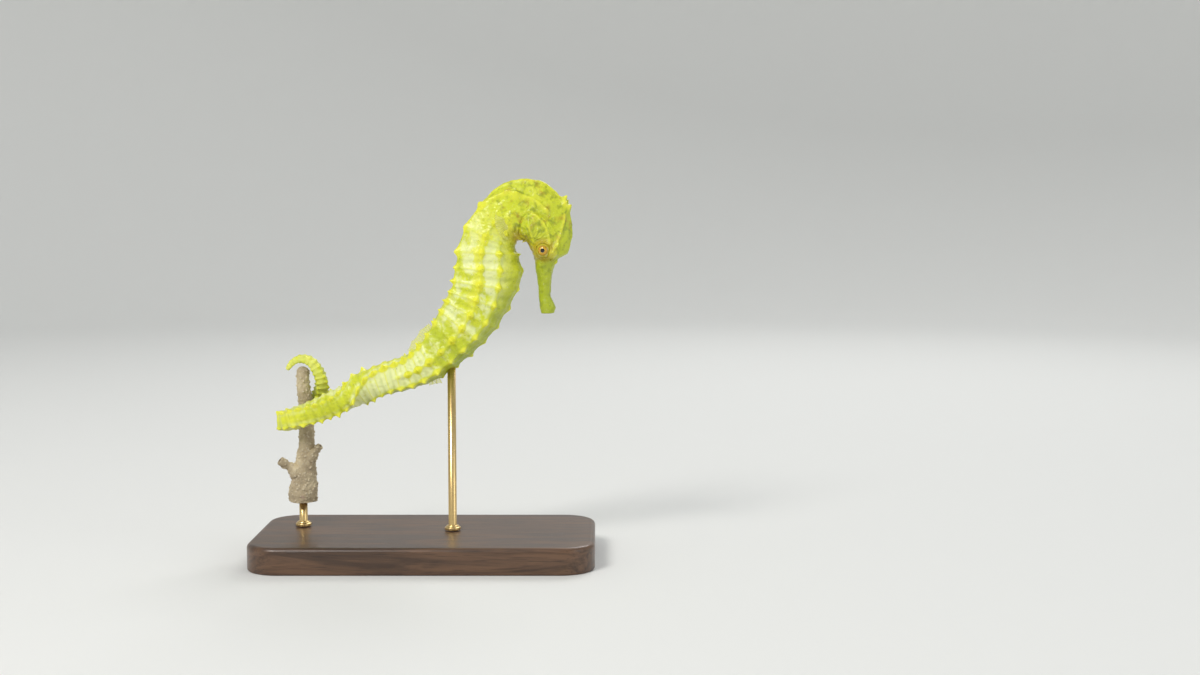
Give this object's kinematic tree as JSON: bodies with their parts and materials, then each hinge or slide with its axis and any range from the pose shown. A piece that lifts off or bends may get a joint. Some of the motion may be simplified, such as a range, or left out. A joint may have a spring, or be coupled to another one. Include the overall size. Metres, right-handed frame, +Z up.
{
  "type": "seahorse",
  "caption": "Life-size still model of a yellow seahorse, head bowed, tail coiled round a short cut gorgonian stem, on a flat display stand.",
  "frame": {"origin": "centre of the stand base's underside, on the floor", "axes": "+Z up, +X the way the animal's belly and snout point, -Y the animal's right side"},
  "size_m": [0.102, 0.052, 0.1137],
  "materials": {
    "skin": "moist, satin, bony-ringed skin",
    "eye": "wet gloss",
    "fin": "thin, clear, rayed",
    "perch": "rough, knobbed, dull",
    "stand_wood": "dark oiled walnut",
    "stand_brass": "satin turned brass"
  },
  "bodies": {
    "root": {"snout": "skin", "head": "skin", "coronet": "skin", "neck": "skin", "trunk_upper": "skin", "trunk_lower": "skin", "tail_1": "skin", "tail_2": "skin", "tail_3": "skin", "tail_4": "skin", "tail_tip": "skin", "eye_left": "eye", "eye_right": "eye", "fin_dorsal": "fin", "fin_anal": "fin", "fin_pectoral_left": "fin", "fin_pectoral_right": "fin", "perch": "perch", "stand_base": "stand_wood", "stand_rod_body": "stand_brass", "stand_rod_perch": "stand_brass"}
  },
  "joints": []
}
